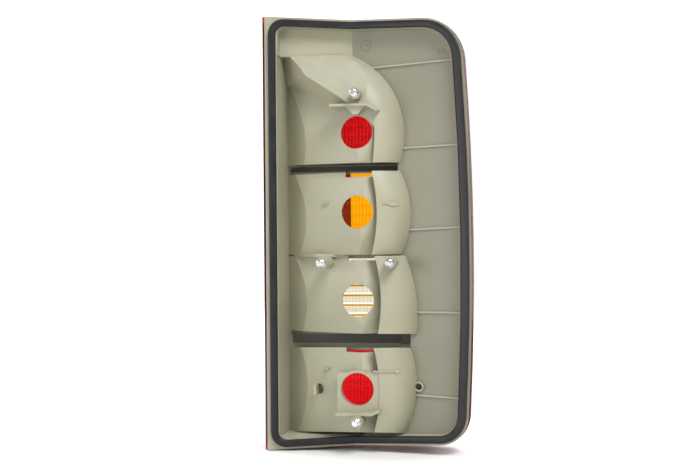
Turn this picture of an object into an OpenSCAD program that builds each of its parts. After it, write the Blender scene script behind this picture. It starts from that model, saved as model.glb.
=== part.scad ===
// Rear lamp cluster for the left-hand side of a van, seen from its mounting side.
// X runs outboard, Y runs rearward to the lens, Z is up.
// The origin is the seat of the top stud, on the face of its boss.

/* [Overall] */
// Height of the lamp along its inboard edge
lamp_h = 410; // [390:1:430]
// Distance from the bulb axis to the inboard edge of the lens
inboard_reach = 92; // [90:0.5:96]
// Distance from the bulb axis to the outboard edge of the lens
outboard_reach = 107.6; // [106:0.2:110]
// Height of the middle of the lamp below the top stud
mid_drop = 127; // [124:0.5:130]
// Slope of the top and bottom edges, which close in outboard
edge_taper = 3; // [1:0.25:4]
// Radius of the long curve of the outboard edge
outboard_curve_r = 2600; // [2200:50:3200]
// Drop of the widest point of that edge below the middle
widest_drop = 21.5; // [0:0.5:40]
// Radius of the top outboard corner
top_corner_r = 43; // [38:1:48]
// Radius of the bottom outboard corner
bottom_corner_r = 31; // [26:1:36]

/* [Seal plane] */
// Distance from the bulb axis to the crease of the seal plane, inboard
crease_x = 9; // [6:0.5:12]
// Depth of the crease behind the stud seats
crease_y = 41; // [39:0.5:44]
// Tilt of the inboard half of the seal plane
tilt_in = 8; // [6:0.5:10]
// Tilt of the outboard half of the seal plane
tilt_out = 16; // [15:0.5:18]
// Depth of the margin floor inside the seal
margin_depth = 10; // [8:0.5:12]
// Wall of the housing
wall = 2.4; // [2:0.1:2.8]

/* [Gasket] */
// Width of the foam ring on its inboard side
gasket_w = 6.8; // [6:0.1:7.5]
// Width of the foam ring on its outboard side
gasket_out_w = 8.2; // [7:0.1:9]
// Width of the foam ring along the top and bottom
gasket_end_w = 6.9; // [6:0.1:7.5]
// Inside radius of the inboard corners of the ring
gasket_corner_r = 7.5; // [6:0.5:9]
// Thickness of the foam ring
gasket_t = 5; // [4:0.25:7]
// Flange left bare outside the ring on its inboard side
flange_lip = 3.9; // [3.4:0.1:4.8]
// Flange left bare outside the ring on its outboard side
flange_lip_out = 2; // [1.6:0.1:2.6]
// Flange left bare outside the ring at the top and bottom
flange_lip_end = 2.2; // [1.8:0.1:3]

/* [Bulb holes] */
// Diameter of a bulb hole
bulb_hole_d = 30.6; // [29:0.2:32]
// Offset of the bulb holes inboard of the top stud
bulb_in = 1.2; // [0:0.1:2]
// Drop from the top stud to the first bulb axis
bulb_drop = 34.5; // [33:0.5:36]
// Distance from the first bulb axis to the second
pitch_1 = 74; // [73:0.5:75]
// Distance from the second bulb axis to the third
pitch_2 = 82; // [81:0.5:83]
// Distance from the third bulb axis to the fourth
pitch_3 = 82; // [81:0.5:83]

/* [Chambers] */
// Height of the first chamber above its bulb axis
first_top = 75.8; // [74:0.2:77]
// Depth of the first chamber below its bulb axis
first_bottom = 28.2; // [27:0.2:30]
// Width of the slot between the first and second chambers
slot_1 = 7.8; // [7:0.1:10]
// Height of the third chamber above its bulb axis
third_top = 41.2; // [39:0.2:42]
// Width of the slot between the third and fourth chambers
slot_2 = 12.6; // [11:0.1:14]
// Height of the fourth chamber above its bulb axis
fourth_top = 38.4; // [37:0.2:40]
// Depth of the fourth chamber below its bulb axis
fourth_bottom = 40.2; // [39:0.2:42]
// Gap between the fourth chamber and the low end of the well
well_gap = 6.8; // [6:0.2:8]
// Groove between the second and third chambers
split_w = 1.1; // [0.8:0.1:1.6]
// Depth of that groove behind the stud seats
split_y = 36; // [30:1:40]
// Slope of the inboard reflector faces
inboard_slope = 31; // [29:0.5:33]
// Depth of the inboard faces at the bulb axis
inboard_y = 14.5; // [13.5:0.25:15.5]
// Radius of the rounded ridge outboard of each inboard face
ridge_r = 16; // [12:1:18]
// Distance from the bulb axis to the crest of the ridge
ridge_x = 4; // [2:0.5:6]
// Distance from the bulb axis to the axis that the ridge turns about
ridge_turn_x = 30; // [26:2:70]
// Slope of the face that falls away outboard of the ridge
ridge_slope = 42; // [38:1:44]
// Radius of the rounded outboard shoulder of each chamber
shoulder_r = 33; // [30:0.5:34]
// Draft of the shoulder where it meets the margin floor
shoulder_draft = 19; // [17:0.5:22]
// Radius of the arched reflector face at the top of the first chamber
arch_r = 90; // [86:1:100]
// Height of its crest above the first bulb axis
arch_rise = 8; // [4:0.5:10]
// Depth of its crest behind the stud seats
arch_y = 12; // [11:0.25:13]
// Depth of the well and slots behind the stud seats
well_y = 73; // [71:0.5:75]
// Distance from the bulb axis to the top of the inboard wall of the well
well_x = 78.8; // [78.4:0.1:79]
// Distance that this wall leans in on its way down
well_draft = 2.6; // [2:0.1:3]
// Distance from the bulb axis to the outboard end of the upper slot
slot_1_x = 35; // [33:0.5:37]
// Distance from the bulb axis to the outboard end of the lower slot
slot_2_x = 46; // [43:0.5:47]
// Distance from the bulb axis to the shelf at that end of the lower slot
shelf_x = 35; // [33:0.5:40]
// Depth of the shelf behind the stud seats
shelf_y = 56; // [50:1:64]
// Slope of the inboard flanks of the chambers
flank_slope = 46; // [45.5:0.25:46.5]
// Distance from the bulb axis to a point of the flank
flank_x = 49; // [48.5:0.5:50]
// Depth of that point
flank_y = 41.6; // [41:0.2:42.4]

/* [Studs] */
// Thread diameter of a stud
stud_d = 6; // [5:0.5:6.5]
// Length of a stud that stands out of its boss
stud_reach = 11; // [9:0.5:16]
// Diameter of a stud boss
boss_d = 11; // [10:0.5:13]
// Distance from the bulb axis to the inner and outer studs
stud_x = 31.5; // [30:0.5:33]
// Drop from the top stud to the inner and outer studs
stud_mid_drop = 155.5; // [154:0.5:157]
// Drop from the top stud to the bottom stud
stud_low_drop = 301; // [299:0.5:303]

// Length of a stud inside its boss
stud_root = 12; // [8:0.5:14]
// Diameter of the thicker root that is moulded in
stud_root_d = 7.4; // [6.8:0.1:7.6]
// Diameter of the shallow recess round the foot of a stud
stud_dish_d = 8; // [7.8:0.1:9]
// Depth of that recess
stud_dish = 1.2; // [0.8:0.1:2]

/* [Lens] */
// Depth of the lens face behind the stud seats
lens_y = 84; // [82:0.5:90]
// Wall of the lens
lens_wall = 1.9; // [1.8:0.1:2.4]
// Radius of the lens where it wraps round outboard
wrap_r = 64; // [56:1:66]
// Radius of the other edges of the lens face
lens_edge_r = 8; // [6:0.5:10]
// Pitch of the upright flutes inside the lens face
flute_pitch = 3.5; // [3.2:0.1:4.5]
// Height of a flute
flute_h = 0.45; // [0.3:0.05:0.6]
// Distance from the bulb axis to the inboard edge of the amber window
amber_in_x = 17; // [12:0.5:24]
// Distance from the bulb axis to the inboard edge of the clear window
clear_in_x = 83; // [70:0.5:84]
// Depth behind the stud seats where the outboard edge of the windows ends
window_y = 36; // [30:1:44]
// Height of an amber bar across the clear window
bar_h = 1.8; // [1.2:0.1:2.5]
// Thickness of an amber bar
bar_t = 1; // [0.8:0.1:1.4]
// Pitch of the amber bars
bar_pitch = 9.6; // [8:0.1:12]

/* [Hidden] */
$fn = 96;
beige = [0.71, 0.69, 0.61];
far = 260;
eps = 0.01;

// Heights follow the height of the lamp
nominal_h = 410;
up = lamp_h / nominal_h;

// Heights of the bulb axes, from the top chamber down
bulb_z = -up * [bulb_drop, bulb_drop + pitch_1, bulb_drop + pitch_1 + pitch_2,
    bulb_drop + pitch_1 + pitch_2 + pitch_3];
mid_z = -up * mid_drop;

// Top and bottom of each chamber
split_z = bulb_z[2] + up * third_top;
chamber_hi = [bulb_z[0] + up * first_top, bulb_z[0] - up * first_bottom - slot_1, split_z,
    bulb_z[3] + up * fourth_top];
chamber_lo = [bulb_z[0] - up * first_bottom, split_z + split_w, chamber_hi[3] + slot_2,
    bulb_z[3] - up * fourth_bottom];

// Slopes at which the side walls of the chambers open out with depth
lean_hi = [0, 0.057, 0, -0.08];
lean_lo = [-0.03, 0, 0.069, 0.147];
lean_y = 18;
function hi_z(i, y) = chamber_hi[i] + lean_hi[i] * (y - lean_y);
function lo_z(i, y) = chamber_lo[i] - lean_lo[i] * (y - lean_y);

// Axis of the cone that each inboard face follows: outboard of the bulb and above it
turn_x = [43, 28, 28, 48];
turn_rise = [-9, -6, -4, -1];

// Outboard foot of each chamber on the margin floor, the radius of that foot
// and the height of its centre above the bulb axis
foot_x = [42, 47.4, 53.4, 51.9];
foot_r = [76, 80, 134, 90];
foot_rise = [-1.2, -1.5, -16, 4.4];

// Outboard edge of the ridge face in each chamber, and the radius of that edge
step_x = [16.5, 18.3, 21.7, 19.5];
step_r = 150;

// Small lap that keeps a cone and the round it leaves from being exactly tangent
seam = 0.1;
seam_turn = 2.5;

// Depth of the seal plane at a distance from the bulb axis
function seal_y(x) = x < -crease_x
    ? crease_y - (-crease_x - x) * tan(tilt_in)
    : crease_y - (x + crease_x) * tan(tilt_out);

// Points along an arc in the X and Z plane
function arc(cx, cz, r, from, to, steps = 8) = [for (i = [0 : steps])
    let (a = from + (to - from) * i / steps)
    [cx + r * cos(a), cz + r * sin(a)]];

// Outline of the lamp in the X and Z plane, moved in by an inset on each side,
// with a radius on its inboard corners
function outline(in_left, in_right, in_ends, round_in) =
    let (
        t = tan(edge_taper),
        half = lamp_h / 2 - in_ends,
        x0 = -inboard_reach + in_left,
        x1 = outboard_reach - in_right,
        rt = top_corner_r - in_right,
        rb = bottom_corner_r - in_right,
        zt = half - (x1 - 6 - rt + inboard_reach) * t - rt / cos(edge_taper),
        zb = half - (x1 - 3 - rb + inboard_reach) * t - rb / cos(edge_taper),
        up = zt + widest_drop,
        down = zb - widest_drop,
        bow_t = up * up / (2 * outboard_curve_r),
        bow_b = down * down / (2 * outboard_curve_r),
        turn_t = asin(up / outboard_curve_r),
        turn_b = asin(down / outboard_curve_r),
        zr = half - (in_left + round_in) * t - round_in / cos(edge_taper)
    )
    concat(
        round_in > 0 ? arc(x0 + round_in, mid_z + zr, round_in, 180, 90 - edge_taper) : [[x0, mid_z + zr]],
        arc(x1 - bow_t - rt, mid_z + zt, rt, 90 - edge_taper, turn_t, 10),
        [for (i = [1 : 7]) let (z = up - (up + down) * i / 8)
            [x1 - z * z / (2 * outboard_curve_r), mid_z - widest_drop + z]],
        arc(x1 - bow_b - rb, mid_z - zb, rb, -turn_b, edge_taper - 90, 10),
        round_in > 0 ? arc(x0 + round_in, mid_z - zr, round_in, edge_taper - 90, -180) : [[x0, mid_z - zr]]
    );

// Stands a flat shape of X and Z up between two depths
module between(y0, y1) {
    translate([0, y1, 0]) rotate([90, 0, 0]) linear_extrude(y1 - y0) children();
}

// Slab that follows the creased seal plane, between two depths below it
module seal_slab(d0, d1) {
    xs = [-far, -crease_x, far];
    translate([0, 0, mid_z - far]) linear_extrude(2 * far)
        polygon(concat([for (x = xs) [x, seal_y(x) + d0]],
            [for (i = [2 : -1 : 0]) [xs[i], seal_y(xs[i]) + d1]]));
}

// Room in front of one creased surface
module below_seal(d) seal_slab(d, 200);

// Insets of the flange, the gasket and the recess from the lens outline
flange_end = -0.6;
gasket_in = lens_wall + flange_lip;
gasket_out = lens_wall + flange_lip_out;
gasket_end = flange_end + flange_lip_end;
recess_in = gasket_in + gasket_w;
recess_out = gasket_out + gasket_out_w;
recess_end = gasket_end + gasket_end_w;
well_lap = 1.6;

module plate_outline() polygon(outline(lens_wall, lens_wall, flange_end, 0));
module skirt_outline(in = 0) polygon(outline(lens_wall + in, lens_wall + in, lens_wall + in, 0));
module gasket_outline() polygon(outline(gasket_in, gasket_out, gasket_end, gasket_corner_r + gasket_w));
module gasket_hole() polygon(outline(recess_in, recess_out, recess_end, gasket_corner_r));
module recess_outline(grow = 0)
    polygon(outline(recess_in + well_lap - grow, recess_out - grow, recess_end - grow, gasket_corner_r));

// Turns a flat profile of radius and height about an axis along Y, height pointing at the viewer
module turned(x, z) translate([x, 0, z]) rotate([90, 0, 0]) rotate_extrude() children();

// Ring with a round crest: cones leave it inward at one slope and outward at another
module crest(x, z, ring_r, y, r, slope_in, slope_out, inset) {
    rr = r - inset;
    cr = rr - seam;
    centre = -(y + r);
    a = [ring_r - cr * sin(slope_in), centre + cr * cos(slope_in)];
    b = [ring_r + cr * sin(slope_out), centre + cr * cos(slope_out)];
    c = [0, a[1] - a[0] * tan(slope_in)];
    d = [b[0] + 120 * cos(slope_out), b[1] - 120 * sin(slope_out)];
    turned(x, z) intersection() {
        union() {
            translate([ring_r, centre]) circle(rr);
            polygon([c, a, [ring_r, centre], b, d, [d[0], -170], [0, -170]]);
        }
        translate([0, -far]) square(2 * far);
    }
}

// Cone that each inboard face follows
module inboard_cone(i, inset) {
    y = inboard_y - turn_x[i] * tan(inboard_slope) + inset / cos(inboard_slope);
    turned(turn_x[i], bulb_z[i] + turn_rise[i])
        polygon([[0, -y], [far, -y - far * tan(inboard_slope)], [far, -far], [0, -far]]);
}

// Rounded ridge and the face that falls away outboard of it
module ridge(i, inset) {
    slope = inboard_slope - seam_turn;
    touch = ridge_x - ridge_r * sin(slope);
    y = inboard_y - touch * tan(inboard_slope) - ridge_r * (1 - cos(slope));
    crest(-ridge_turn_x, bulb_z[i], ridge_turn_x + ridge_x, y, ridge_r, slope, ridge_slope, inset);
}

// Rounded shoulder that closes a chamber outboard
module shoulder(i, slope_in, inset) {
    foot_y = seal_y(foot_x[i]) + margin_depth;
    ring = foot_r[i] - shoulder_r * cos(shoulder_draft);
    y = foot_y - shoulder_r * (1 - sin(shoulder_draft));
    axis_x = foot_x[i] - foot_r[i];
    crest(axis_x, bulb_z[i] + foot_rise[i], ring, y, shoulder_r, slope_in, 90 - shoulder_draft, inset);
    translate([axis_x - far, y + inset, mid_z - far]) cube([far, far, 2 * far]);
}

// Solid outboard of the slanted inboard flank
module flank_room(inset) {
    y = flank_y + inset / cos(flank_slope);
    top_x = -flank_x + (20 + y) / tan(flank_slope);
    low_x = -flank_x - (120 - y) / tan(flank_slope);
    translate([0, 0, mid_z - far]) linear_extrude(2 * far)
        polygon([[top_x, -20], [low_x, 120], [far, 120], [far, -20]]);
}

// Room outboard of the curved step between the ridge face and the shoulder
module outboard_room(i, inset) {
    difference() {
        translate([step_x[i] - 40, -20, bulb_z[i] - far / 2]) cube([far, far, far]);
        translate([step_x[i] - step_r, 130, bulb_z[i]]) rotate([90, 0, 0]) cylinder(h = 160, r = step_r + inset);
    }
}

// Room above one slanted face of the first chamber; both faces pass through one corner
slant_at = [-51.7, 28.1, 20.2 * up];
flank_lean = [76.2, 34.9];
diagonal_lean = [45.5, 35.6];
module above_slant(lean, inset) {
    translate(slant_at) rotate([0, lean[0], lean[1]])
        translate([-far / 2, -far / 2, inset]) cube(far);
}

// Arched face that runs straight across the top of the first chamber
module arch(inset) {
    translate([-far / 2, arch_y + arch_r, bulb_z[0] + arch_rise]) rotate([0, 90, 0]) cylinder(h = far, r = arch_r - inset);
    translate([-far / 2, arch_y + arch_r, bulb_z[0] + arch_rise - arch_r + inset]) cube([far, 60, 2 * arch_r - 2 * inset]);
}

// Room between the two side walls of a chamber
module side_walls(i, inset, end_y, over = 0) {
    translate([-well_x - 20, 0, 0]) rotate([90, 0, 90]) linear_extrude(well_x + 140)
        polygon([[-20, lo_z(i, -20) + inset], [end_y, lo_z(i, end_y) + inset],
            [end_y, hi_z(i, end_y) - inset + over], [-20, hi_z(i, -20) - inset + over]]);
}

// One chamber as a solid, its skin moved in by an inset
module chamber(i, inset, end_y) {
    intersection() {
        side_walls(i, inset, end_y);
        flank_room(inset);
        union() {
            intersection() {
                inboard_cone(i, inset);
                ridge(i, inset);
                shoulder(i, 20, inset);
            }
            if (i > 0) {
                intersection() {
                    shoulder(i, 0, inset);
                    outboard_room(i, inset);
                }
            }
            if (i == 3) pad(inset);
        }
    }
    if (i == 0) {
        intersection() {
            side_walls(i, inset, end_y, 0.6);
            arch(inset);
            shoulder(i, 20, inset);
            union() {
                intersection() {
                    outboard_room(i, inset);
                    flank_room(inset);
                }
                intersection() {
                    above_slant(flank_lean, inset);
                    above_slant(diagonal_lean, inset);
                }
            }
        }
    }
}

// Square seat round the lowest bulb hole
pad_x = [-20, 20.5];
pad_z = [-22, 15.6];
pad_y = 12.4;
module pad(inset) {
    translate([pad_x[0] + inset, pad_y + inset, bulb_z[3] + pad_z[0] + inset])
        cube([pad_x[1] - pad_x[0] - 2 * inset, 40, pad_z[1] - pad_z[0] - 2 * inset]);
}

// Slot between two chambers, from the one above to the one below
module slot_room(up, down, x1, depth, grow) {
    end_y = depth + grow;
    translate([-well_x / 2, 0, 0]) rotate([90, 0, 90]) linear_extrude(well_x / 2 + x1 + grow)
        polygon([[-20, hi_z(down, -20) - grow], [end_y, hi_z(down, end_y) - grow],
            [end_y, lo_z(up, end_y) + grow], [-20, lo_z(up, -20) + grow]]);
}

// Well and its slots, with a drafted inboard wall
well_top = chamber_hi[0];
well_low = chamber_lo[3] - well_gap;
well_end = -16;
module well(grow) {
    top_y = seal_y(-well_x);
    difference() {
        translate([0, 0, well_low - grow]) linear_extrude(well_top - well_low + 2 * grow)
            polygon([[-well_x - grow, -20], [-well_x - grow, top_y], [-well_x + well_draft - grow, well_y + grow],
                [0, well_y + grow], [0, -20]]);
        translate([well_end, -30, bulb_z[0]]) cube(far);
    }
    slot_room(0, 1, slot_1_x, well_y, grow);
    slot_room(2, 3, shelf_x, well_y, grow);
    slot_room(2, 3, slot_2_x, shelf_y, grow);
}

module bulb_bores() {
    for (z = bulb_z) translate([-bulb_in, 60, z]) rotate([90, 0, 0]) cylinder(h = 80, d = bulb_hole_d);
}

stud_places = [[0, 0], [-stud_x, -up * stud_mid_drop], [stud_x, -up * stud_mid_drop], [0, -up * stud_low_drop]];

module boss_posts() {
    for (p = stud_places) translate([p[0], 50, p[1]]) rotate([90, 0, 0]) cylinder(h = 50, d = boss_d);
}

module boss_bores() {
    for (p = stud_places) translate([p[0], stud_root, p[1]]) rotate([90, 0, 0]) {
        cylinder(h = stud_root - stud_dish + eps, d = stud_root_d);
        translate([0, 0, stud_root - stud_dish]) cylinder(h = stud_dish + 1, d = stud_dish_d);
    }
}

// Ledges that guide the bulb carrier, above the first hole and below the fourth
ledge_t = 2.4;
ledge_y = 3;
gusset_y = 7;
module ledges() {
    translate([0, 30, bulb_z[0]]) rotate([90, 0, 0]) linear_extrude(30 - ledge_y)
        polygon([[-24, 25.4], [-24, 25.4 - ledge_t], [11, 25.4 - ledge_t], [20.5, 17.4], [21.5, 19.4], [11.5, 25.4]]);
    translate([0, 30, bulb_z[0]]) rotate([90, 0, 0]) linear_extrude(30 - gusset_y)
        polygon([[-9, 23], [-2, 15.6], [2, 15.6], [8, 23]]);
    translate([0, 30, bulb_z[3]]) rotate([90, 0, 0]) linear_extrude(30 - ledge_y)
        polygon([[-20.5, -20.4], [-20.5, -23.4], [13, -23.4], [21, -20], [20, -17.4], [12.4, -20.4]]);
}

// Windows cut through the top edge of three chambers
notch_w = 27.2;
notch_x = [0, 0, 1.7, 0];
notch_h = [0, 5, 4.2, 5];
module notches() {
    for (i = [1 : 3]) translate([notch_x[i] - notch_w / 2, -20, chamber_hi[i] - notch_h[i]])
        cube([notch_w, 60, notch_h[i] + (i == 2 ? split_w / 2 : 2)]);
}

// Thin ribs that stiffen the outboard margin floor
rib_x = 75;
rib_z = up * [30.6, -47.8, -124.2, -202.1, -280.2];
rib_tilt = [1.9, 1.5, 2.2, 0.2, -1.7];
rib_w = 1.5;
rib_h = 1.8;
module floor_ribs() {
    intersection() {
        for (i = [0 : len(rib_z) - 1]) translate([rib_x, -20, rib_z[i]]) rotate([0, -rib_tilt[i], 0])
            translate([-65, 0, -rib_w / 2]) cube([120, 100, rib_w]);
        seal_slab(margin_depth - rib_h, margin_depth + 1);
        between(-20, 80) recess_outline(1);
    }
}

// Small moulded marks, ribs and pegs
peg = [-45.3, 28, bulb_z[3] - 7.2];
peg_h = 9.2;
mark_h = 1.2;
module small_parts() {
    translate(peg) cube([4, 14, peg_h]);
    for (z = [bulb_z[1] + 8, bulb_z[3] + 16])
        translate([0, 0, z]) linear_extrude(1.6) polygon([[-37, 34.7], [-31, 31.1], [-31, 38], [-37, 40]]);
    leaf_bump();
    intersection() {
        union() {
            translate([14, -20, bulb_z[3] + 16]) cube([22, 60, 1.4]);
            translate([36, 40, bulb_z[3] + 16.7]) rotate([90, 0, 0]) cylinder(h = 60, r = 2.2);
        }
        shoulder(3, 0, -mark_h);
    }
    for (m = floor_marks) intersection() {
        translate([m[0], 70, m[1]]) rotate([90, 0, 0]) difference() {
            cylinder(h = 60, r = m[2]);
            if (m[2] > 4) translate([0, 0, -1]) cylinder(h = 62, r = m[2] - 1);
        }
        seal_slab(margin_depth - 0.4, margin_depth + 1);
    }
    intersection() {
        translate([floor_marks[0][0], 70, floor_marks[0][1]]) rotate([90, 0, 0]) cylinder(h = 60, r = 1.8);
        seal_slab(margin_depth - 0.4, margin_depth + 1);
    }
}

// Raised ring and ejector marks on the margin floor, as place and radius
floor_marks = [[4.4, 50.1 * up, 5.4], [75, 39.5 * up, 1.8], [79.6, 39.9 * up, 1.8]];

// Leaf-shaped bump with a short tail beside the second bulb hole
leaf = [33.6, bulb_z[1] + 7];
module leaf_bump() {
    intersection() {
        union() {
            translate([leaf[0], 40, leaf[1]]) rotate([90, 0, 0]) linear_extrude(60) intersection() {
                translate([0, -5.4]) circle(7.6);
                translate([0, 5.4]) circle(7.6);
            }
            translate([23.5, -20, leaf[1] - 0.4]) cube([8, 60, 1.2]);
        }
        shoulder(1, 0, -mark_h);
    }
}

// Blind locating hole at the foot of the fourth chamber, and its collar
locator = [53.8, 40, -271.5 * up];
locator_r = 3.2;
collar_t = 1.5;
module locator_bore() translate(locator) rotate([90, 0, 0]) cylinder(h = 60, r = locator_r);
module locator_collar() {
    difference() {
        intersection() {
            translate([locator[0], locator[1] + collar_t, locator[2]]) rotate([90, 0, 0])
                cylinder(h = 60, r = locator_r + collar_t);
            seal_slab(margin_depth - 2.5, 60);
        }
        locator_bore();
    }
}

// Clip pocket beside the peg, with a closed bottom
pocket_x = -42.5;
pocket_r = 5;
pocket_y = 46;
module pocket(grow, y1) {
    intersection() {
        translate([pocket_x, y1, bulb_z[3] - 2.6]) rotate([90, 0, 0]) cylinder(h = y1, r = pocket_r + grow);
        translate([pocket_x - grow, 0, bulb_z[3] - 12]) cube([8 + grow, 60, 20]);
    }
}

module cuts() {
    bulb_bores();
    boss_bores();
    notches();
    locator_bore();
    pocket(0, pocket_y);
    translate([-62, -20, split_z]) cube([62 + 38, split_y + 20, split_w]);
}

module housing() color(beige) {
    difference() {
        union() {
            difference() {
                union() {
                    intersection() {
                        between(-20, 90) plate_outline();
                        seal_slab(0, wall);
                    }
                    intersection() {
                        between(-20, 90) skirt_outline();
                        seal_slab(wall / 2, margin_depth + wall);
                    }
                    intersection() {
                        well(wall);
                        below_seal(margin_depth);
                    }
                }
                intersection() {
                    between(-30, 90) recess_outline();
                    seal_slab(-60, margin_depth);
                }
                well(0);
            }
            for (i = [0 : 3]) chamber(i, 0, well_y + wall);
            difference() {
                translate([-70, split_y, split_z - 1]) cube([70 + 38, well_y + wall - split_y, split_w + 2]);
                flank_gap();
            }
            boss_posts();
            ledges();
            floor_ribs();
            small_parts();
        }
        intersection() {
            difference() {
                between(-20, 100) skirt_outline(wall);
                between(-30, 110) recess_outline(wall);
            }
            seal_slab(wall, 200);
        }
        difference() {
            seal_slab(margin_depth + wall + 1, 200);
            between(-30, 300) recess_outline(wall);
        }
        for (i = [0 : 3]) chamber(i, wall, well_y + wall + 10);
        cuts();
    }
    translate([-bulb_in, pad_y, bulb_z[3]]) rotate([-90, 0, 0]) difference() {
        cylinder(h = 10, d = bulb_hole_d + 2 * wall);
        translate([0, 0, -1]) cylinder(h = 12, d = bulb_hole_d);
    }
    locator_collar();
    intersection() {
        difference() {
            pocket(1.2, pocket_y + 1.2);
            pocket(0, pocket_y);
        }
        inboard_cone(3, 1);
    }
}

module flank_gap() {
    difference() {
        translate([-90, 0, split_z - 5]) cube([200, 100, 12]);
        flank_room(0);
    }
}

// Foam ring on the flange
module gasket() color([0.2, 0.2, 0.21]) {
    intersection() {
        difference() {
            between(-40, 90) gasket_outline();
            between(-50, 100) gasket_hole();
        }
        seal_slab(-gasket_t, 0);
    }
}

// Section of the lens across its width, moved in by an inset
module lens_section(in) {
    r = lens_edge_r - in;
    w = wrap_r - in;
    x0 = -inboard_reach + in;
    x1 = outboard_reach - in;
    y1 = lens_y - in;
    translate([x0 + r, y1 - r]) circle(r);
    translate([x0, -20]) square([r + 1, y1 - r + 20]);
    translate([x0 + r, -20]) square([x1 - w - x0 - r, y1 + 20]);
    intersection() {
        translate([x1 - w, y1 - w]) circle(w);
        translate([x1 - w - 1, y1 - w]) square([w + 2, w + 1]);
    }
    translate([x1 - w - 1, -20]) square([w + 1, y1 - w + 20]);
}

module lens_body(in) {
    translate([0, 0, mid_z - far]) linear_extrude(2 * far) lens_section(in);
}

// Inside of the lens, with upright flutes standing out of the flat of its face
flute_first = -inboard_reach + lens_edge_r + 2;
flute_count = floor((outboard_reach - wrap_r - flute_first) / flute_pitch);
flute_r = (flute_pitch * flute_pitch / 4 + flute_h * flute_h) / (2 * flute_h);
module lens_room() {
    translate([0, 0, mid_z - far]) linear_extrude(2 * far) difference() {
        lens_section(lens_wall);
        for (i = [0 : flute_count - 1])
            translate([flute_first + (i + 0.5) * flute_pitch, lens_y - lens_wall + flute_r - flute_h]) circle(flute_r);
    }
}

// Whole lens before it is divided into colours
module lens_shell() {
    difference() {
        intersection() {
            lens_body(0);
            between(-20, 95) polygon(outline(0, 0, 0, 0));
            seal_slab(0, 200);
        }
        intersection() {
            lens_room();
            between(-30, 100) skirt_outline();
        }
        intersection() {
            between(-20, 90) plate_outline();
            seal_slab(-10, wall);
        }
    }
}

// Heights where the colours meet
colour_z = [chamber_lo[0] - slot_1 / 2, split_z + split_w / 2, chamber_hi[3] + slot_2 / 2];

module amber_room() {
    translate([-amber_in_x, window_y, colour_z[1]]) cube([200, 80, colour_z[0] - colour_z[1]]);
}

module clear_room() {
    translate([-clear_in_x, window_y, colour_z[2]]) cube([200, 80, colour_z[1] - colour_z[2]]);
}

module red_lens() color([0.75, 0.05, 0.06]) {
    difference() {
        lens_shell();
        amber_room();
        clear_room();
    }
}

module amber_lens() color([1, 0.65, 0.05]) {
    intersection() {
        lens_shell();
        amber_room();
    }
}

module clear_lens() color([0.93, 0.93, 0.92]) {
    intersection() {
        lens_shell();
        clear_room();
    }
}

// Amber bars that follow the flutes of the clear window
bar_side = floor((colour_z[1] - colour_z[2] - 6) / bar_pitch / 2);
bar_z = (colour_z[1] + colour_z[2]) / 2;
module amber_bars() color([0.9, 0.55, 0.1]) {
    intersection() {
        difference() {
            lens_room();
            lens_body(lens_wall + flute_h + bar_t);
        }
        for (i = [-bar_side : bar_side])
            translate([-clear_in_x + 4, window_y + 10, bar_z + i * bar_pitch - bar_h / 2]) cube([200, 80, bar_h]);
    }
}

// Metal stud: thick root moulded into its boss, plain end standing out of the seat
stud_tip = 0.8;
module stud(p) color([0.75, 0.75, 0.77]) {
    translate([p[0], stud_root, p[1]]) rotate([90, 0, 0]) rotate_extrude()
        polygon([[0, 0], [stud_root_d / 2, 0], [stud_root_d / 2, stud_root - stud_dish],
            [stud_d / 2, stud_root - stud_dish], [stud_d / 2, stud_root + stud_reach - stud_tip],
            [stud_d / 2 - stud_tip, stud_root + stud_reach], [0, stud_root + stud_reach]]);
}

module stud_top() stud(stud_places[0]);
module stud_inner() stud(stud_places[1]);
module stud_outer() stud(stud_places[2]);
module stud_bottom() stud(stud_places[3]);

housing();
gasket();
red_lens();
amber_lens();
clear_lens();
amber_bars();
stud_top();
stud_inner();
stud_outer();
stud_bottom();
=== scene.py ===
# %% [markdown]
# # Rear lamp cluster, seen from its mounting side
# The lamp is a moulded housing with four reflector chambers, a tinted lens behind it,
# a foam seal on its flange and four studs. The solids come from the frame. This lesson
# gives them their finishes, cuts a real thread on the studs, rounds the foam and sets
# the studio.

# %% Open the frame
import bpy, bmesh, math
from mathutils import Vector, Matrix


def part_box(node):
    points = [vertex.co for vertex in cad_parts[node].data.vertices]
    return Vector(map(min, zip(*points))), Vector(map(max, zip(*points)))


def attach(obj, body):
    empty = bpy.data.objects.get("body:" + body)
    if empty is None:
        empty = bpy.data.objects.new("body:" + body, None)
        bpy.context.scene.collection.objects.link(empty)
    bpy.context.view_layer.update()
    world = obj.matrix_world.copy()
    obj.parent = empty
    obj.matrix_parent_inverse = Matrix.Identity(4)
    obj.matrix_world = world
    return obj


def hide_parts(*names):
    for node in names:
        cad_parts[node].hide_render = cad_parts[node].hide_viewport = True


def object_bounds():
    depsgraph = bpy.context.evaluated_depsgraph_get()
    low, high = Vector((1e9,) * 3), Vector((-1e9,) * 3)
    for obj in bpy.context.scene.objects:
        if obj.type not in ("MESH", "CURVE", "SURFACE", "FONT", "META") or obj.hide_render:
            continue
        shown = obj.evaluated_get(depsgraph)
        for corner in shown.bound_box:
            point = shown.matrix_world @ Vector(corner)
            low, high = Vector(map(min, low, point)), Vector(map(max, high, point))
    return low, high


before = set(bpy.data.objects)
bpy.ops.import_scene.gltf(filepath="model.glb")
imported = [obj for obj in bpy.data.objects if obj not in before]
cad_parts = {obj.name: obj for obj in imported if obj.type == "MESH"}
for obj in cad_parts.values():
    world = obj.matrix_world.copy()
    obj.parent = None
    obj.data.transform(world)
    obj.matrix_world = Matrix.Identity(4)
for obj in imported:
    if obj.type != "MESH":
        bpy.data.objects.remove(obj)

cad_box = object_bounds()
MM = 0.001
print("solids reach from", cad_box[0], "to", cad_box[1])

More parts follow.
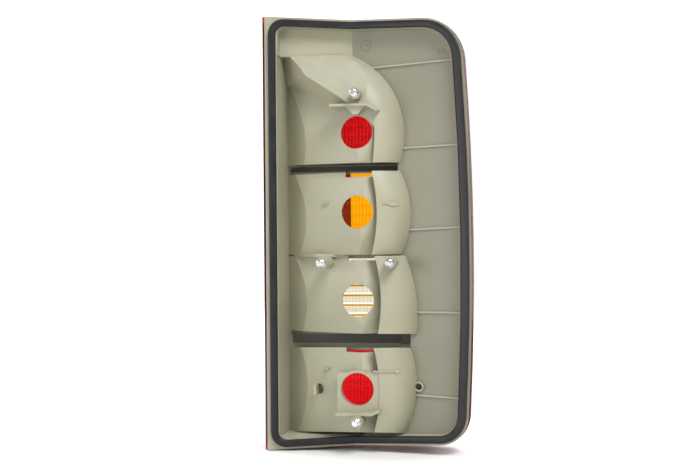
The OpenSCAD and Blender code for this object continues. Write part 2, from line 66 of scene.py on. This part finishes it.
# %% [markdown]
# ## Camera
# The lamp hangs upright. It could be shown square on, but then its depth would be lost,
# so the camera looks at its back from 9 degrees outboard and almost level, from a little
# over a metre, through a medium telephoto lens.

# %% Place the camera
AZIMUTH, ELEVATION, ROLL = 9.0, 0.5, -0.5
EYE = (0.1809, -1.1723, -0.1389)
SENSOR = 36.0
PHOTO_WIDTH = 700
FOCUS = 1297.3  # in pixels of the photograph's width

def look(azimuth, elevation, roll):
    az, el, ro = math.radians(azimuth), math.radians(elevation), math.radians(roll)
    forward = Vector((-math.sin(az) * math.cos(el), math.cos(az) * math.cos(el), math.sin(el)))
    right = Vector((math.cos(az), math.sin(az), 0))
    up = right.cross(forward)
    side = right * math.cos(ro) + up * math.sin(ro)
    top = up * math.cos(ro) - right * math.sin(ro)
    return Matrix((side, top, -forward)).transposed()

camera_data = bpy.data.cameras.new("camera")
camera_data.sensor_width = SENSOR
camera_data.lens = SENSOR * FOCUS / PHOTO_WIDTH
camera = bpy.data.objects.new("camera", camera_data)
camera.matrix_world = Matrix.Translation(EYE) @ look(AZIMUTH, ELEVATION, ROLL).to_4x4()
bpy.context.scene.collection.objects.link(camera)
bpy.context.scene.camera = camera
print("camera lens", round(camera_data.lens, 1), "mm")

# %% [markdown]
# ## Floor and wall
# A sheet of pale paper lies under the lamp and curves up behind it. Two planes would
# show a line where they meet, so one edge is spun through a quarter turn instead and
# the whole line is then drawn out sideways.

# %% A bmesh becomes an object
def new_object(bm, name, smooth):
    bmesh.ops.recalc_face_normals(bm, faces=bm.faces)
    mesh = bpy.data.meshes.new(name)
    bm.to_mesh(mesh)
    bm.free()
    for polygon in mesh.polygons:
        polygon.use_smooth = smooth
    obj = bpy.data.objects.new(name, mesh)
    bpy.context.scene.collection.objects.link(obj)
    return obj

def verts_in(geometry):
    return [g for g in geometry if isinstance(g, bmesh.types.BMVert)]

# %% Sweep the paper
PAPER_GAP = 0.5 * MM
CURVE_STEPS = 16

def sweep_paper(name, z, near, far, half_width, radius, height):
    bm = bmesh.new()
    front = bm.verts.new((-half_width, near, z))
    corner = bm.verts.new((-half_width, far, z))
    bm.edges.new((front, corner))
    turn = bmesh.ops.spin(bm, geom=[corner], cent=(-half_width, far, z + radius),
                          axis=(1, 0, 0), angle=math.radians(90), steps=CURVE_STEPS,
                          use_duplicate=False)
    rise = bmesh.ops.extrude_vert_indiv(bm, verts=verts_in(turn["geom_last"])[:1])
    bmesh.ops.translate(bm, verts=rise["verts"], vec=(0, 0, height))
    drawn = bmesh.ops.extrude_edge_only(bm, edges=bm.edges[:])
    bmesh.ops.translate(bm, verts=verts_in(drawn["geom"]), vec=(2 * half_width, 0, 0))
    return new_object(bm, name, smooth=True)

paper_sheet = sweep_paper("floor", cad_box[0][2] - PAPER_GAP, near=-4.0, far=3.0,
                          half_width=6.0, radius=1.0, height=5.0)
print("paper from", list(paper_sheet.bound_box[0]), "to", list(paper_sheet.bound_box[6]))

# %% Colour the paper
PAPER_WHITE = (0.93, 0.93, 0.93, 1)
PAPER_ROUGHNESS = 0.95

def new_finish(name):
    material = bpy.data.materials.new(name)
    material.use_nodes = True
    tree = material.node_tree
    tree.nodes.clear()
    out = tree.nodes.new("ShaderNodeOutputMaterial")
    shader = tree.nodes.new("ShaderNodeBsdfPrincipled")
    tree.links.new(shader.outputs["BSDF"], out.inputs["Surface"])
    return material, tree, shader

paper, tree, shader = new_finish("floor_paper")
shader.inputs["Base Color"].default_value = PAPER_WHITE
shader.inputs["Roughness"].default_value = PAPER_ROUGHNESS
paper_sheet.data.materials.append(paper)
print("paper coloured")

# %% [markdown]
# ## Light
# The lamp was lit softly from the front and above. A white sky gives the even part.
# One large soft lamp stands above and outboard of the camera, a weak one inboard, and
# two light the paper behind, so that the lens glows as it does against a bright wall.
# One more hangs above the paper and falls on the face of the lens.

# %% Hang the lights
SKY_STRENGTH = 0.44
MIDDLE, LOWER_HALF = (0.01, 0.03, -0.127), (0.01, 0.03, -0.25)
LIGHTS = (  # name, place, target, width and height in metres, watts
    ("key", (0.95, -1.45, 1.45), MIDDLE, (1.0, 0.9), 47),
    ("fill", (-1.3, -1.7, -0.05), LOWER_HALF, (1.2, 0.9), 17),
    ("wall_left", (-2.2, 0.9, 1.1), (-0.2, 4.0, 0.0), (1.4, 1.4), 62),
    ("wall_right", (2.4, 0.9, 1.1), (0.2, 4.0, 0.0), (1.4, 1.4), 62),
    ("lens_side", (-0.7, 1.7, 1.2), MIDDLE, (1.8, 1.0), 34),
)

def soft_light(name, place, target, size, power):
    data = bpy.data.lights.new(name, "AREA")
    data.shape = "RECTANGLE"
    data.size, data.size_y = size
    data.energy = power
    obj = bpy.data.objects.new(name, data)
    obj.location = place
    aim = Vector(target) - Vector(place)
    obj.rotation_euler = aim.to_track_quat("-Z", "Y").to_euler()
    bpy.context.scene.collection.objects.link(obj)

world = bpy.data.worlds.new("sky")
bpy.context.scene.world = world
world.use_nodes = True
sky = world.node_tree.nodes["Background"]
sky.inputs["Color"].default_value = (1, 1, 1, 1)
sky.inputs["Strength"].default_value = SKY_STRENGTH
for light in LIGHTS:
    soft_light(*light)
bpy.context.scene.view_settings.view_transform = "Standard"
print(len(LIGHTS), "lights hung")

# %% [markdown]
# ## Shared effects
# Three effects come back on several finishes, so each is a node group with its own
# inputs: the slow clouds that a melt or a bath leaves in a surface, the dust that
# settles on whatever faces up together with painted light from above on those faces, and
# the optic cells on the inner face of the lens. The nodes could be placed one by one in
# each material, but a few short helpers place and join them, so that a finish reads as a
# recipe.

# %% Helpers that place and join nodes
VECTOR, FLOAT, COLOUR = "NodeSocketVector", "NodeSocketFloat", "NodeSocketColor"

def put(tree, value, socket):
    if isinstance(value, bpy.types.NodeSocket):
        tree.links.new(value, socket)
    else:
        socket.default_value = value

def new_group(name, inputs, outputs):
    tree = bpy.data.node_groups.new(name, "ShaderNodeTree")
    for label, kind in inputs.items():
        tree.interface.new_socket(label, in_out="INPUT", socket_type=kind)
    for label, kind in outputs.items():
        tree.interface.new_socket(label, in_out="OUTPUT", socket_type=kind)
    given = tree.nodes.new("NodeGroupInput").outputs
    result = tree.nodes.new("NodeGroupOutput").inputs
    return tree, given, result

def use_group(tree, group, **values):
    node = tree.nodes.new("ShaderNodeGroup")
    node.node_tree = group
    for label, value in values.items():
        put(tree, value, node.inputs[label])
    return node.outputs

# %% Helpers for sums, masks and mixes
def maths(tree, kind, *values):
    node = tree.nodes.new("ShaderNodeMath")
    node.operation = kind
    for socket, value in zip(node.inputs, values):
        put(tree, value, socket)
    return node.outputs[0]

def between(tree, value, low, high):
    return maths(tree, "MULTIPLY", maths(tree, "GREATER_THAN", value, low),
                 maths(tree, "LESS_THAN", value, high))

def axes_of(tree, vector):
    node = tree.nodes.new("ShaderNodeSeparateXYZ")
    tree.links.new(vector, node.inputs[0])
    return node.outputs

def blend(tree, factor, first, second):
    node = tree.nodes.new("ShaderNodeMix")
    node.data_type = "RGBA"
    for label, value in (("Factor", factor), ("A", first), ("B", second)):
        put(tree, value, [s for s in node.inputs if s.name == label and s.enabled][0])
    return [s for s in node.outputs if s.enabled][0]

# %% Helpers for patterns and relief
def noise(tree, where, scale, detail, rough=0.5):
    node = tree.nodes.new("ShaderNodeTexNoise")
    node.inputs["Detail"].default_value = detail
    node.inputs["Roughness"].default_value = rough
    tree.links.new(where, node.inputs["Vector"])
    put(tree, scale, node.inputs["Scale"])
    return node.outputs["Fac"]

def relief(tree, height, strength, depth, base=None):
    node = tree.nodes.new("ShaderNodeBump")
    node.inputs["Strength"].default_value = strength
    node.inputs["Distance"].default_value = depth
    tree.links.new(height, node.inputs["Height"])
    if base is not None:
        tree.links.new(base, node.inputs["Normal"])
    return node.outputs["Normal"]

def object_place(tree):
    return tree.nodes.new("ShaderNodeTexCoord").outputs["Object"]

def surface_normal(tree):
    return tree.nodes.new("ShaderNodeNewGeometry").outputs["Normal"]

print("helpers ready")

# %% Slow clouds
CLOUD_CONTRAST, CLOUD_SHIFT = 2.4, -0.7

clouds, given, result = new_group(
    "slow_clouds", {"Where": VECTOR, "Scale": FLOAT, "Dark": COLOUR, "Light": COLOUR},
    {"Colour": COLOUR, "Level": FLOAT})
drift = noise(clouds, given["Where"], given["Scale"], 5.0)
clamp = clouds.nodes.new("ShaderNodeClamp")
clouds.links.new(maths(clouds, "MULTIPLY_ADD", drift, CLOUD_CONTRAST, CLOUD_SHIFT),
                 clamp.inputs["Value"])
level = clamp.outputs[0]
clouds.links.new(blend(clouds, level, given["Dark"], given["Light"]), result["Colour"])
clouds.links.new(level, result["Level"])

# %% Settled dust and painted top light
DUST_PATCHES, PATCH_CONTRAST, PATCH_SHIFT = 90.0, 1.1, 0.15

dust_and_top_light, given, result = new_group(
    "dust_and_painted_top_light", {"Where": VECTOR, "Under": COLOUR, "Dust": COLOUR, "Amount": FLOAT},
    {"Colour": COLOUR, "Mask": FLOAT})
# faces that look up get lighter: partly settled dust, partly painted light from above
upward = maths(dust_and_top_light, "MAXIMUM", axes_of(dust_and_top_light, surface_normal(dust_and_top_light))["Z"], 0.0)
patches = noise(dust_and_top_light, given["Where"], DUST_PATCHES, 6.0, 0.65)
patchy = maths(dust_and_top_light, "MULTIPLY_ADD", patches, PATCH_CONTRAST, PATCH_SHIFT)
mask = maths(dust_and_top_light, "MULTIPLY", maths(dust_and_top_light, "MULTIPLY", upward, patchy), given["Amount"])
dust_and_top_light.links.new(blend(dust_and_top_light, mask, given["Under"], given["Dust"]), result["Colour"])
dust_and_top_light.links.new(mask, result["Mask"])

# %% Optic cells
FLUTE_START, FLUTE_PITCH = -0.082, 0.0035
ROW_MIDDLE, ROW_PITCH = -0.1905, 0.0096
FACE_FRONT, FACE_BACK = 0.0829, 0.0780
FLUTE_SEAM_POWER, ROW_SEAM_POWER, ROW_SEAM_SHARE = 3.5, 14.0, 0.7

optics, given, result = new_group("optic_cells", {"Where": VECTOR},
                                  {"Rows": FLOAT, "Seams": FLOAT})

def cell(at, start, pitch):
    steps = maths(optics, "DIVIDE", maths(optics, "SUBTRACT", at, start), pitch)
    share = maths(optics, "FRACT", steps)
    return maths(optics, "ABSOLUTE", maths(optics, "MULTIPLY_ADD", share, 2.0, -1.0))

spot = axes_of(optics, given["Where"])
across = cell(spot["X"], FLUTE_START, FLUTE_PITCH)
along = cell(spot["Z"], ROW_MIDDLE - ROW_PITCH / 2, ROW_PITCH)
inner = between(optics, spot["Y"], FACE_BACK, FACE_FRONT)
pillow = maths(optics, "SUBTRACT", 1.0, maths(optics, "POWER", along, 2.0))
flute_seams = maths(optics, "POWER", across, FLUTE_SEAM_POWER)
row_seams = maths(optics, "MULTIPLY", maths(optics, "POWER", along, ROW_SEAM_POWER),
                  ROW_SEAM_SHARE)
seams = maths(optics, "MAXIMUM", flute_seams, row_seams)
optics.links.new(maths(optics, "MULTIPLY", pillow, inner), result["Rows"])
optics.links.new(maths(optics, "MULTIPLY", seams, inner), result["Seams"])
print("node groups:", [g.name for g in bpy.data.node_groups])

# %% [markdown]
# ## Moulded housing
# The housing is filled plastic with a warm olive grey. A single colour would look like
# paint, so the flow of the melt leaves slow clouds in it, the tool leaves a fine grain,
# and dust and painted light from above lighten it where it faces up.

# %% Mix the plastic
HOUSING_DARK, HOUSING_LIGHT = (0.300, 0.286, 0.198, 1), (0.358, 0.343, 0.248, 1)
HOUSING_DUST_AND_LIGHT = (0.62, 0.61, 0.55, 1)

housing_finish, tree, shader = new_finish("housing_plastic")
where = object_place(tree)
spot, facing = axes_of(tree, where), axes_of(tree, surface_normal(tree))
melt = use_group(tree, clouds, Where=where, Scale=13.0,
                 Dark=HOUSING_DARK, Light=HOUSING_LIGHT)
# upward faces lightened: settled dust and painted light from above
dusted_and_lit = use_group(tree, dust_and_top_light, Where=where, Under=melt["Colour"],
                  Dust=HOUSING_DUST_AND_LIGHT, Amount=0.5)
print("plastic mixed")

# %% [markdown]
# ## Painted shade on the margin floor and in the slots
# In the photograph the outboard part of the margin floor and the two slots between the
# chambers are darker than this studio leaves them. That darkness is shade, for the slots are
# narrow and deep and the floor lies low beside the chambers. Whether that is shade or a
# duller surface can't be told. They could be pieces of their own, but the housing is one
# moulding, so masks of place and direction pick them out and paint shade into the plastic
# there. The floor is the one plane at its own tilt and depth, and a slot is a box.

# %% Paint shade on the margin floor and into the slots
MARGIN_TILT = math.radians(16.0)
CREASE_X, CREASE_Y, MARGIN_DEPTH = -9.0 * MM, 41.0 * MM, 10.0 * MM
MARGIN_BAND, MARGIN_FACING = 1.5 * MM, 0.99
MARGIN_SHADE, SLOT_SHADE = 0.44, 0.78
SLOT_START = -0.074
SLOTS = ((-0.07055, -0.06265, 0.0352), (-0.23415, -0.22145, 0.0462))  # low, high, end
# painted shade: the near black that the margin floor and the slots are darkened towards
PAINTED_SHADE_TONE = (0.03, 0.027, 0.018, 1)

plane = CREASE_Y + MARGIN_DEPTH + CREASE_X * math.tan(MARGIN_TILT)
rise = maths(tree, "MULTIPLY_ADD", spot["X"], math.tan(MARGIN_TILT), spot["Y"])
depth = maths(tree, "SUBTRACT", rise, plane)
lean = maths(tree, "MULTIPLY_ADD", facing["X"], -math.sin(MARGIN_TILT),
             maths(tree, "MULTIPLY", facing["Y"], -math.cos(MARGIN_TILT)))
margin = maths(tree, "MULTIPLY", between(tree, depth, -MARGIN_BAND, MARGIN_BAND),
               maths(tree, "GREATER_THAN", lean, MARGIN_FACING))
shade = maths(tree, "MULTIPLY", margin, MARGIN_SHADE)
# the slots get painted shade too, deeper than the floor's
for low, high, end in SLOTS:
    slot = maths(tree, "MULTIPLY", between(tree, spot["Z"], low, high),
                 between(tree, spot["X"], SLOT_START, end))
    shade = maths(tree, "MAXIMUM", shade, maths(tree, "MULTIPLY", slot, SLOT_SHADE))
# paint the shade into the plastic colour
with_painted_shade = blend(tree, shade, dusted_and_lit["Colour"], PAINTED_SHADE_TONE)
print("margin floor and", len(SLOTS), "slots darkened")

# %% [markdown]
# ## Reflectors
# Inside the chambers the faces that look at the lens are the reflectors, and on such
# lamps a thin bright coat usually lies on them. The photograph doesn't show that side,
# so the coat is a guess. A second shell could carry it, but it has no thickness to see,
# so a mask finds those faces and the plastic and the metal share one material. The
# tool's corners are never sharp, so the shading of each edge is rounded by half a
# millimetre.

# %% Silver the reflectors and finish the housing
CHAMBER_BLOCK = {"X": (-0.077, 0.052), "Y": (0.014, 0.0765), "Z": (-0.3127, 0.0413)}
LENS_FACING = 0.03
SILVER = (0.80, 0.80, 0.80, 1)
PLASTIC_ROUGHNESS, CLOUD_ROUGHNESS, SILVER_ROUGHNESS = 0.40, 0.10, -0.18
EDGE_ROUND, EDGE_SAMPLES = 0.5 * MM, 4
GRAIN_SCALE, GRAIN_STRENGTH, GRAIN_DEPTH = 1100.0, 0.22, 0.15 * MM

def dress(name, material):
    obj = bpy.data.objects[name]
    if not obj.material_slots:
        obj.data.materials.append(material)
    for slot in obj.material_slots:
        slot.material = material
    print(name, "wears", material.name)

silvered = maths(tree, "GREATER_THAN", facing["Y"], LENS_FACING)
for axis, (low, high) in CHAMBER_BLOCK.items():
    silvered = maths(tree, "MULTIPLY", silvered, between(tree, spot[axis], low, high))
tree.links.new(blend(tree, silvered, with_painted_shade, SILVER), shader.inputs["Base Color"])
tree.links.new(silvered, shader.inputs["Metallic"])
satin = maths(tree, "MULTIPLY_ADD", melt["Level"], CLOUD_ROUGHNESS, PLASTIC_ROUGHNESS)
tree.links.new(maths(tree, "MULTIPLY_ADD", silvered, SILVER_ROUGHNESS, satin),
               shader.inputs["Roughness"])
round_edge = tree.nodes.new("ShaderNodeBevel")
round_edge.samples = EDGE_SAMPLES
round_edge.inputs["Radius"].default_value = EDGE_ROUND
grain = noise(tree, where, GRAIN_SCALE, 2.0)
tree.links.new(relief(tree, grain, GRAIN_STRENGTH, GRAIN_DEPTH, round_edge.outputs["Normal"]),
               shader.inputs["Normal"])
dress("housing", housing_finish)

# %% [markdown]
# ## Lens
# Red, amber and clear acrylic make one tinted shell. Glass with a coloured surface is
# the simplest way to pass light, and the frame's solids already have the upright flutes.
# The finish adds the low rows that cross them, and the seams between the cells.

# %% Mix the acrylics
ACRYLIC_IOR, ACRYLIC_TRANSMISSION = 1.49, 0.92
ACRYLIC_ROUGHNESS, ROUGHNESS_DRIFT = 0.05, 0.03
SEAM_SHARE, ROW_STRENGTH, ROW_DEPTH = 0.85, 0.6, 0.5 * MM

def acrylic(name, deep, bright, seam_colour):
    material, tree, shader = new_finish(name)
    where = object_place(tree)
    tint = use_group(tree, clouds, Where=where, Scale=26.0, Dark=deep, Light=bright)
    cells = use_group(tree, optics, Where=where)
    seams = maths(tree, "MULTIPLY", cells["Seams"], SEAM_SHARE)
    tone = blend(tree, seams, tint["Colour"], seam_colour)
    tree.links.new(tone, shader.inputs["Base Color"])
    drift = maths(tree, "MULTIPLY_ADD", tint["Level"], ROUGHNESS_DRIFT, ACRYLIC_ROUGHNESS)
    tree.links.new(drift, shader.inputs["Roughness"])
    shader.inputs["IOR"].default_value = ACRYLIC_IOR
    shader.inputs["Transmission Weight"].default_value = ACRYLIC_TRANSMISSION
    rows = relief(tree, cells["Rows"], ROW_STRENGTH, ROW_DEPTH)
    tree.links.new(rows, shader.inputs["Normal"])
    return material, tree, shader, tone

red, red_tree, red_shader, red_tone = acrylic(
    "red_acrylic", (0.47, 0.004, 0.006, 1), (0.56, 0.007, 0.009, 1), (0.16, 0.0008, 0.001, 1))
amber = acrylic(
    "amber_acrylic", (0.93, 0.36, 0.001, 1), (0.98, 0.42, 0.002, 1), (0.60, 0.13, 0.0, 1))[0]
clear = acrylic(
    "clear_acrylic", (0.74, 0.67, 0.52, 1), (0.82, 0.75, 0.60, 1), (0.50, 0.43, 0.32, 1))[0]
dress("red_lens", red)
dress("amber_lens", amber)
dress("clear_lens", clear)

# %% [markdown]
# ## Reflex field
# Beside the amber window the red moulding carries a reflex field: small prism cells that
# send light back. They could be modelled one by one, but there are hundreds and they are
# under three millimetres across, so a regular cell texture in the red finish draws them.

# %% Add the reflex field to the red finish
REFLEX_X, REFLEX_TOP, REFLEX_LOW = -0.017, -0.0666, -0.14875
PRISM_SCALE, PRISM_CONTRAST = 380.0, 1.2
PRISM_MIDDLE, PRISM_EDGE = (0.24, 0.022, 0.002, 1), (0.14, 0.010, 0.001, 1)

where = object_place(red_tree)
spot = axes_of(red_tree, where)
field = maths(red_tree, "MULTIPLY", maths(red_tree, "LESS_THAN", spot["X"], REFLEX_X),
              between(red_tree, spot["Z"], REFLEX_LOW, REFLEX_TOP))
prism = red_tree.nodes.new("ShaderNodeTexVoronoi")
prism.inputs["Scale"].default_value = PRISM_SCALE
prism.inputs["Randomness"].default_value = 0.0
red_tree.links.new(where, prism.inputs["Vector"])
edge = maths(red_tree, "MULTIPLY", prism.outputs["Distance"], PRISM_CONTRAST)
prisms = blend(red_tree, edge, PRISM_MIDDLE, PRISM_EDGE)
red_tree.links.new(blend(red_tree, field, red_tone, prisms), red_shader.inputs["Base Color"])
print("reflex field", round((REFLEX_TOP - REFLEX_LOW) / MM), "mm tall")

# %% [markdown]
# ## Amber bars
# Flat amber strips lie across the flutes of the clear window, moulded onto them. Glass
# against glass gives dark lines, so each strip is a tinted film with a little gloss.

# %% Finish the bars
BAR_DARK, BAR_LIGHT = (0.90, 0.42, 0.010, 1), (0.98, 0.48, 0.018, 1)
BAR_FILM, BAR_BODY = (1.0, 0.75, 0.08, 1), 0.4

bar_finish, tree, shader = new_finish("bar_acrylic")
tint = use_group(tree, clouds, Where=object_place(tree), Scale=60.0,
                 Dark=BAR_DARK, Light=BAR_LIGHT)
tree.links.new(tint["Colour"], shader.inputs["Base Color"])
tree.links.new(maths(tree, "MULTIPLY_ADD", tint["Level"], 0.1, 0.2), shader.inputs["Roughness"])
film = tree.nodes.new("ShaderNodeBsdfTransparent")
film.inputs["Color"].default_value = BAR_FILM
both = tree.nodes.new("ShaderNodeMixShader")
both.inputs["Fac"].default_value = BAR_BODY
tree.links.new(film.outputs["BSDF"], both.inputs[1])
tree.links.new(shader.outputs["BSDF"], both.inputs[2])
tree.links.new(both.outputs["Shader"], tree.nodes["Material Output"].inputs["Surface"])
dress("amber_bars", bar_finish)

# %% [markdown]
# ## Foam seal
# The seal is a strip of black foam rubber, cut and stuck down. A plain ring would have
# knife edges. A copy of the solid is welded into one skin and its edges are bevelled
# round, as the skin of a cut strip is.

# %% Round the foam seal
WELD, FLAT_ANGLE, SHARP_ANGLE = 0.02 * MM, math.radians(1.0), math.radians(35)

def rounded_copy(source, name, width, segments):
    bm = bmesh.new()
    bm.from_mesh(bpy.data.objects[source].data)
    bmesh.ops.remove_doubles(bm, verts=bm.verts, dist=WELD)
    bmesh.ops.dissolve_limit(bm, angle_limit=FLAT_ANGLE, verts=bm.verts, edges=bm.edges)
    sharp = [e for e in bm.edges
             if len(e.link_faces) == 2 and e.calc_face_angle() > SHARP_ANGLE]
    bmesh.ops.bevel(bm, geom=sharp, offset=width, segments=segments, profile=0.5,
                    affect="EDGES", clamp_overlap=True, material=-1)
    return new_object(bm, name, smooth=True)

foam = rounded_copy("gasket", "foam_seal", 1.5 * MM, 4)
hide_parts("gasket")
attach(foam, "root")
print("foam seal", len(foam.data.polygons), "faces")

# %% Finish the foam
FOAM_DARK, FOAM_LIGHT = (0.009, 0.009, 0.0105, 1), (0.018, 0.018, 0.020, 1)
FOAM_DUST, FOAM_GLOSS = (0.12, 0.117, 0.11, 1), 0.28
PORE_SCALE, PORE_STRENGTH, PORE_DEPTH = 700.0, 0.35, 0.3 * MM

foam_finish, tree, shader = new_finish("foam_rubber")
where = object_place(tree)
wear = use_group(tree, clouds, Where=where, Scale=40.0, Dark=FOAM_DARK, Light=FOAM_LIGHT)
dusted_and_lit = use_group(tree, dust_and_top_light, Where=where, Under=wear["Colour"], Dust=FOAM_DUST, Amount=0.2)
tree.links.new(dusted_and_lit["Colour"], shader.inputs["Base Color"])
tree.links.new(maths(tree, "MULTIPLY_ADD", wear["Level"], 0.10, 0.34),
               shader.inputs["Roughness"])
shader.inputs["Specular IOR Level"].default_value = FOAM_GLOSS
pores = noise(tree, where, PORE_SCALE, 6.0, 0.6)
tree.links.new(relief(tree, pores, PORE_STRENGTH, PORE_DEPTH), shader.inputs["Normal"])
foam.data.materials.append(foam_finish)
print("foam finished")

# %% [markdown]
# ## Studs
# Each stud has a thick root moulded into its boss and a rolled thread on its free end.
# Rings stacked on the axis would look like a thread but close on themselves. Here one
# tooth is spun round the axis while it climbs, so the crest is one real helix.

# %% Cut one tooth and trim the ends
TOOTH_RISE, TOOTH_CREST, TOOTH_FOOT = 0.34, 0.56, 0.90  # shares of the pitch

def thread_tooth(bm, x, y, z, radius, pitch, depth):
    root = radius - depth
    shape = [(root, 0.0), (radius, TOOTH_RISE), (radius, TOOTH_CREST), (root, TOOTH_FOOT),
             (root, 1.0)]
    verts = [bm.verts.new((x + r, y + pitch * t, z)) for r, t in shape]
    edges = [bm.edges.new(pair) for pair in zip(verts, verts[1:])]
    return verts + edges

def trim(bm, x, y, z, side):
    everything = bm.verts[:] + bm.edges[:] + bm.faces[:]
    bmesh.ops.bisect_plane(bm, geom=everything, dist=1e-7, plane_co=(x, y, z),
                           plane_no=(0, side, 0), clear_outer=True)
    rim = [e for e in bm.edges
           if e.is_boundary and all(abs(v.co.y - y) < 1e-6 for v in e.verts)]
    return bmesh.ops.contextual_create(bm, geom=rim)["faces"]

print("tooth crest", round(TOOTH_CREST - TOOTH_RISE, 2), "of the pitch")

# %% Turn a stud
TURN_STEPS, ROOT_STEPS = 30, 48
LEAD, TIP_SHARE = 0.8 * MM, 0.76
SUNK = 0.3 * MM
THREAD_WELD = 0.004 * MM

def threaded_stud(name, node, radius, root_radius, pitch, depth, free_end, seat, root_end):
    low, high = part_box(node)
    x, z = (low[0] + high[0]) / 2, (low[2] + high[2]) / 2
    start = free_end - pitch
    turns = int(math.ceil((seat - start) / pitch)) + 1
    bm = bmesh.new()
    tooth = thread_tooth(bm, x, start, z, radius, pitch, depth)
    bmesh.ops.spin(bm, geom=tooth, cent=(x, start, z), axis=(0, 1, 0),
                   dvec=(0, pitch / TURN_STEPS, 0), angle=math.radians(360) * turns,
                   steps=TURN_STEPS * turns, use_duplicate=False)
    bmesh.ops.remove_doubles(bm, verts=bm.verts, dist=THREAD_WELD)
    trim(bm, x, seat + SUNK, z, 1)
    tip = trim(bm, x, free_end + LEAD, z, -1)
    tip_verts = verts_in(bmesh.ops.extrude_face_region(bm, geom=tip)["geom"])
    bmesh.ops.translate(bm, verts=tip_verts, vec=(0, -LEAD, 0))
    bmesh.ops.scale(bm, verts=tip_verts, vec=(TIP_SHARE, 1, TIP_SHARE),
                    space=Matrix.Translation((-x, 0, -z)))
    along_y = Matrix.Rotation(math.radians(90), 4, "X")
    place = Matrix.Translation((x, (seat + root_end) / 2, z)) @ along_y
    bmesh.ops.create_cone(bm, cap_ends=True, segments=ROOT_STEPS, radius1=root_radius,
                          radius2=root_radius, depth=root_end - seat, matrix=place)
    open_edges = sum(e.is_boundary for e in bm.edges)
    made = new_object(bm, name, smooth=False)
    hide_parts(node)
    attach(made, "root")
    print(name, len(made.data.polygons), "faces,", open_edges, "open edges")
    return made

# %% [markdown]
# ## Zinc plate
# The studs are zinc plated, bright but a little cloudy. The clouds change both the tone
# and the gloss, which keeps the small tips from looking like chrome.

# %% Plate the studs
STUDS = ("stud_top", "stud_inner", "stud_outer", "stud_bottom")
STUD_SIZE = {"radius": 3.0 * MM, "root_radius": 3.7 * MM, "pitch": 1.0 * MM,
             "depth": 0.5 * MM, "free_end": -11.0 * MM, "seat": 1.2 * MM,
             "root_end": 12.0 * MM}
ZINC_DARK, ZINC_LIGHT = (0.66, 0.68, 0.72, 1), (0.90, 0.91, 0.93, 1)

zinc, tree, shader = new_finish("zinc_plate")
bloom = use_group(tree, clouds, Where=object_place(tree), Scale=260.0,
                  Dark=ZINC_DARK, Light=ZINC_LIGHT)
tree.links.new(bloom["Colour"], shader.inputs["Base Color"])
tree.links.new(maths(tree, "MULTIPLY_ADD", bloom["Level"], 0.14, 0.20),
               shader.inputs["Roughness"])
shader.inputs["Metallic"].default_value = 1.0
for node in STUDS:
    stud = threaded_stud(node + "_turned", node, **STUD_SIZE)
    stud.data.materials.append(zinc)
